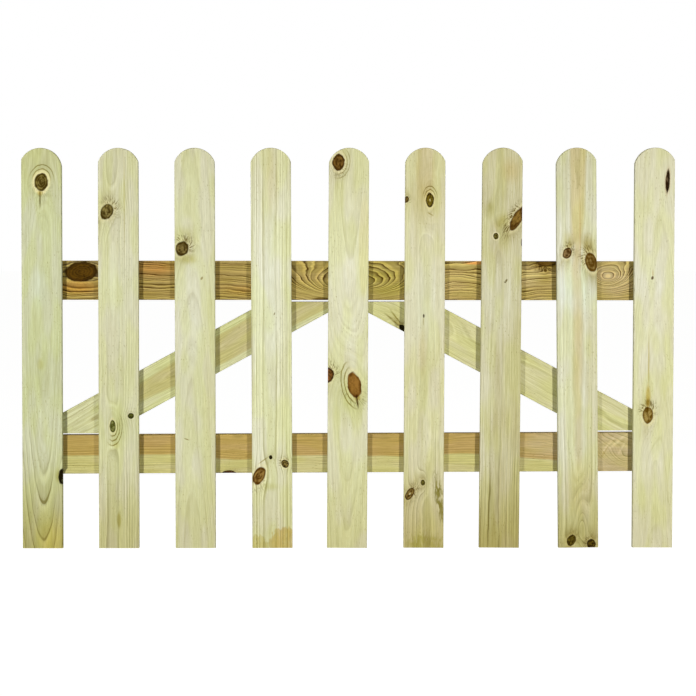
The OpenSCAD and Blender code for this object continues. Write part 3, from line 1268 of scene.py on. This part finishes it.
FLAWS = {
    1: [Hollow(46, 166, 18, 36, 14), Hollow(-3, 802, 1.4, 40, 5)],
    5: [Hollow(22, 336, 1.4, 26, 5, turn=-10)],
    7: [Hollow(46, 705, 2.5, 14, 6)],
    9: [Hollow(29.5, 845, 9, 50, 7, turn=3)],
}
for number, hollows in FLAWS.items():
    board = pales[number - 1]
    cut(boards[board.node], [lens(board, hollow) for hollow in hollows])
    print(board.node, "has", len(hollows), "hollows and", len(boards[board.node].data.polygons), "faces")

# %% [markdown]
# ## Screws
#
# A gate like this is screwed together from the back, so that no screw shows in front: two through
# each rail into every pale, and two through a brace into each pale that it crosses. The two of a pair
# stand on a slant, so they don't split the board along one line of grain.

# %% Where the screws go
SCREW_ASIDE = 22 * MM
SCREW_UP = 20 * MM
ROUNDS = 3
back = rail_front + BOARD_THICKNESS


def crossing(flat, pale):
    """Where the middle lines of a rail or brace and of a pale cross, closed in on in a few rounds."""
    height = flat.place.z
    for _ in range(ROUNDS):
        x = pale.place.x + (height - pale.place.z) * math.tan(pale.turn)
        height = flat.place.z + (x - flat.place.x) / math.tan(flat.turn)
    return x, height


def screw_pair(flat, pale):
    """Two places on the back, left low and right high of where the boards cross."""
    x, height = crossing(flat, pale)
    up = SCREW_ASIDE * (1 / math.tan(flat.turn)) + SCREW_UP
    return [Vector((x + side * SCREW_ASIDE, back, height + side * up)) for side in (-1, 1)]


CROSSED = ((lower_rail, pales), (upper_rail, pales), (left_brace, pales[1:4]), (right_brace, pales[5:8]))
screws = {flat.node: [place for pale in crossed for place in screw_pair(flat, pale)]
          for flat, crossed in CROSSED}
print(sum(len(places) for places in screws.values()), "screws")

# %% [markdown]
# A countersunk head is a cone with a six-lobed recess. One tree makes the head, cuts the recess, sets
# a copy on every point, and turns each copy at random, because nobody lines up the recesses. Each
# head lies a little below the wood, in a countersink that is cut to match.

# %% The tree for screws
HEAD_RADIUS = 4.0 * MM
NECK_RADIUS = 1.9 * MM
HEAD_HEIGHT = 2.6 * MM
SUNK = 0.4 * MM
HEAD_SIDES = 48
DRIVE_SIDES = 72
LOBES = 6
LOBE_DEPTH = 0.13
DRIVE_SHARE = 0.46
DRIVE_LIFT = 1.25


def screw_tree():
    tree, size, output = start_group(
        "GeometryNodeTree", "Countersunk screws",
        {"Geometry": "Points", "Float": "Head, Neck, Height", "Int": "Seed", "Material": "Material"},
        {"Geometry": "Screws"})
    head = output_of(tree, "GeometryNodeMeshCone", {
        "Vertices": HEAD_SIDES, "Radius Bottom": size["Neck"], "Radius Top": size["Head"],
        "Depth": size["Height"]}, port="Mesh")
    drive = output_of(tree, "GeometryNodeMeshCylinder", {
        "Vertices": DRIVE_SIDES, "Radius": size["Head"] * DRIVE_SHARE, "Depth": size["Height"]},
        port="Mesh")
    x, y, z = split(output_of(tree, "GeometryNodeInputPosition"))
    lobed = 1.0 + LOBE_DEPTH * cos(math_node("ARCTAN2", y, x) * LOBES)
    star = output_of(tree, "GeometryNodeSetPosition", {
        "Geometry": drive, "Position": join(x * lobed, y * lobed, z + size["Height"] * DRIVE_LIFT)})
    recessed = output_of(tree, "GeometryNodeMeshBoolean", [head, star], port="Mesh",
                         operation="DIFFERENCE")
    spin = add_node(tree, "FunctionNodeRandomValue", {"Max": math.tau / LOBES, "Seed": size["Seed"]},
                    data_type="FLOAT")
    spin = Wire(tree, next(out for out in spin.outputs if out.type == "VALUE" and out.enabled))
    standing = output_of(tree, "GeometryNodeInstanceOnPoints", {
        "Points": size["Points"], "Instance": recessed, "Rotation": join(-math.pi / 2, spin, 0.0)})
    return finish_shape(tree, standing, size, output)


screw_heads = screw_tree()

# %% [markdown]
# Zinc-plated steel is a dull metal. Its yellow plating has faint clouds in it, lighter and darker.

# %% Zinc
CLOUD = 2 * MM

zinc, zinc_tree = start_material("zinc")
x, y, z = split(output_of(zinc_tree, "ShaderNodeTexCoord", port="Object"))
cloud = noise([x / CLOUD, y / CLOUD, z / CLOUD], detail=2.0)
finish_material(zinc_tree, output_of(zinc_tree, "ShaderNodeBsdfPrincipled", {
    "Base Color": blend(cloud, "#B0A780", "#897F5C"), "Roughness": 0.3 + cloud * 0.25,
    "Metallic": 1.0}))
print(zinc.name, "is ready")

# %% Screws and their countersinks
MOUTH_RADIUS = 4.6 * MM
HOLE_RADIUS = 2.2 * MM
HOLE_DEPTH = 3.6 * MM
HOLE_SIDES = 40
MOUTH_REACH = 0.6 * MM
SPIN_SEED = 7
WIDENING = (MOUTH_RADIUS - HOLE_RADIUS) / HOLE_DEPTH


def countersinks(places):
    """One cutter with a cone for every screw, wide end at the back face and a little beyond."""
    shape = bmesh.new()
    for place in places:
        middle = Matrix.Translation(place + Vector((0, (MOUTH_REACH - HOLE_DEPTH) / 2, 0)))
        bmesh.ops.create_cone(shape, cap_ends=True, segments=HOLE_SIDES, radius1=HOLE_RADIUS,
                              radius2=MOUTH_RADIUS + MOUTH_REACH * WIDENING,
                              depth=HOLE_DEPTH + MOUTH_REACH,
                              matrix=middle @ Matrix.Rotation(-math.pi / 2, 4, "X"))
    return cutter_of("countersinks", shape)


for node, places in screws.items():
    cut(boards[node], [countersinks(places)])
sunk = Vector((0, SUNK + HEAD_HEIGHT, 0))
every_place = [place - sunk for places in screws.values() for place in places]
heads = grow("screws", screw_heads, {"Head": HEAD_RADIUS, "Neck": NECK_RADIUS, "Height": HEAD_HEIGHT,
                                     "Seed": SPIN_SEED, "Material": zinc}, points=every_place)
print(len(every_place), "screw heads,", len(heads.data.polygons), "faces")

# %% Finish the edges, and say what each piece rides on
for piece in [*boards.values(), heads]:
    sharpen(piece)
    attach(piece, "root")
print(len(boards) + 1, "pieces ride the root body")

# %% [markdown]
# ## Light
#
# Two soft lamps stand far out in front, one on each side. Each is turned a little away from the gate,
# so the gate sits on the slope of its beam: the left lamp is stronger on the left half and the right
# one on the right half. That is how a pale throws a deep shadow to one side and a light one to the
# other, while the sum stays even. Two more lamps do the same for the back. A weaker one straight
# above lights the tops of the boards, and since it only grazes their faces, it leaves those alone.

# %% Lamps
LAMP_AWAY = 8.0
LAMP_ASIDE = 4.8
LAMP_HEIGHT = 0.62
LAMP_RADIUS = 0.3
LAMP_POWER = 3340
BEAM_ASIDE = 2.75
BEAM_RADIUS = 4.5
BEAM_ANGLE = 2 * math.atan2(BEAM_RADIUS, math.hypot(LAMP_AWAY, LAMP_ASIDE))
TOP_HEIGHT = 5.0
TOP_POWER = 200


def lamp(name, place, target, power):
    """A soft spotlight whose beam fades smoothly from its middle to its rim."""
    data = bpy.data.lights.new(name, "SPOT")
    data.energy = power
    data.spot_size = BEAM_ANGLE
    data.spot_blend = 1.0
    data.shadow_soft_size = LAMP_RADIUS
    fixture = add_object(name, data)
    fixture.location = place
    fixture.rotation_euler = (target - place).to_track_quat("-Z", "Y").to_euler()


base = Vector((leaf_middle, 0, foot_level + LAMP_HEIGHT))
for side, label in ((-1, "left"), (1, "right")):
    for facing, face in ((-1, "front"), (1, "back")):
        lamp(f"{face}_{label}_lamp", base + Vector((side * LAMP_ASIDE, facing * LAMP_AWAY, 0)),
             base + Vector((side * BEAM_ASIDE, 0, 0)), LAMP_POWER)
lamp("top_lamp", Vector((leaf_middle, pale_front, foot_level + TOP_HEIGHT)),
     Vector((leaf_middle, pale_front, foot_level)), TOP_POWER)
print("five lamps, beams of", round(math.degrees(BEAM_ANGLE)), "degrees")

# %% [markdown]
# ## Background, floor and camera
#
# The background is white, but white all round would light the boards from everywhere and wash out
# the shadows. So the world is white only to the camera and in reflections, and faint otherwise. The
# floor works alike: mostly a white of its own, and partly a real surface, which keeps the shadow.

# %% World
WHITE = (1.0, 1.0, 1.0)
SKY_FILL = 0.02
FILL_TINT = (1.0, 0.94, 0.5)


def seen_directly(tree):
    """1 for what the camera, a reflection or glass shows."""
    path = add_node(tree, "ShaderNodeLightPath")
    camera, glossy, glass = (Wire(tree, path.outputs[f"Is {name} Ray"])
                             for name in ("Camera", "Glossy", "Transmission"))
    return math_node("MAXIMUM", math_node("MAXIMUM", camera, glossy), glass)


world = bpy.data.worlds.new("studio")
world.use_nodes = True
bpy.context.scene.world = world
sky = world.node_tree.nodes["Background"]
direct = seen_directly(world.node_tree)
plug(world.node_tree, blend(direct, FILL_TINT, WHITE), sky.inputs["Color"])
plug(world.node_tree, SKY_FILL + direct * (1.0 - SKY_FILL), sky.inputs["Strength"])
bpy.context.scene.view_settings.view_transform = "Standard"
print("white background, fill light", SKY_FILL)

# %% Floor
FLOOR_CLEAR = 0.05
FLOOR_SIZE = 60.0
FLOOR_GREY = (0.3, 0.3, 0.3)
FLOOR_WHITE = 0.98

reach = FLOOR_SIZE / 2
level = foot_level - FLOOR_CLEAR
floor_mesh = bpy.data.meshes.new("floor")
floor_mesh.from_pydata([(x * reach, y * reach, level) for x, y in ((-1, -1), (1, -1), (1, 1), (-1, 1))],
                       [], [(0, 1, 2, 3)])
floor = add_object("floor", floor_mesh)
chalk, tree = start_material("floor_white")
paint = output_of(tree, "ShaderNodeBsdfDiffuse", {"Color": FLOOR_GREY})
glow = output_of(tree, "ShaderNodeEmission", {"Color": WHITE, "Strength": FLOOR_WHITE})
both = output_of(tree, "ShaderNodeAddShader", [paint, glow])
finish_material(tree, output_of(tree, "ShaderNodeMixShader", [seen_directly(tree), paint, both]))
floor_mesh.materials.append(chalk)
print("floor", FLOOR_CLEAR, "below the feet")

# %% Camera
AIM_HEIGHT = 0.4622
EYE_OFFSET = Vector((-0.040, -6.5, 0.327))
LENS = 146.3
SENSOR = 36
ROLL = -0.036

camera = bpy.data.cameras.new("camera")
camera.sensor_width = SENSOR
camera.lens = LENS
eye = add_object("camera", camera)
aim = Vector((leaf_middle, pale_front, foot_level + AIM_HEIGHT))
eye.location = aim + EYE_OFFSET
look = (aim - eye.location).to_track_quat("-Z", "Y")
eye.rotation_mode = "QUATERNION"
eye.rotation_quaternion = look @ Quaternion((0, 0, 1), math.radians(ROLL))
bpy.context.scene.camera = eye
print("camera", round(-eye.location.y, 2), "metres in front")
